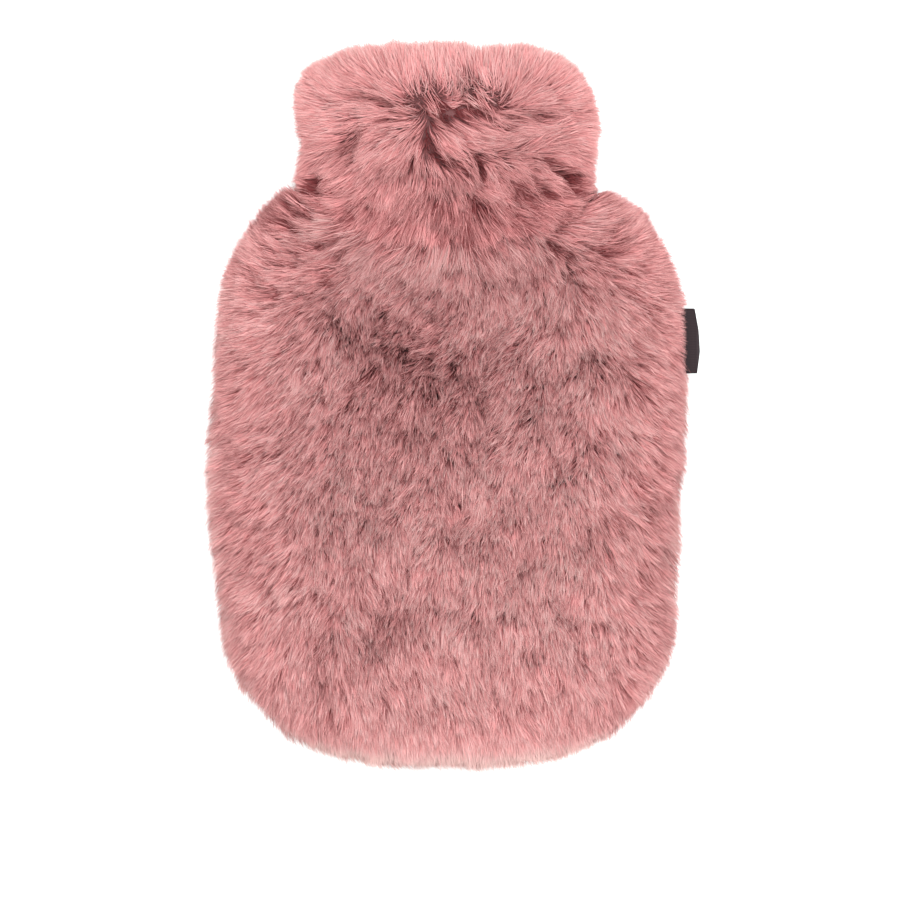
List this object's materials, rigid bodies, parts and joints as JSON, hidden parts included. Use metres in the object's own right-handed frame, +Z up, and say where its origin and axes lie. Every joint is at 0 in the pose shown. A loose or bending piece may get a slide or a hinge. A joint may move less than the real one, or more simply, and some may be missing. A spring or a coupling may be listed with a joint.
{
  "type": "hot water bottle cover",
  "caption": "Long-pile fur cover for a hot water bottle, a rounded body bag with a turned-down roll collar round its neck opening and a blank ribbon label in the side seam.",
  "frame": {"origin": "on the floor under the middle of the cover, which lies on its back", "axes": "+Z up out of the front panel, +Y along the cover towards the collar, +X to the side with the label"},
  "size_m": [0.2529, 0.3752, 0.0745],
  "materials": {
    "fur_pink": "dusty pink long-pile faux fur, matt",
    "label_ribbon": "dark aubergine woven ribbon, matt"
  },
  "bodies": {
    "root": {"front_panel": "fur_pink", "back_panel": "fur_pink", "roll_collar": "fur_pink", "seam_locks": "fur_pink", "crest_locks": "fur_pink", "hem_locks": "fur_pink", "side_label": "label_ribbon"}
  },
  "joints": []
}
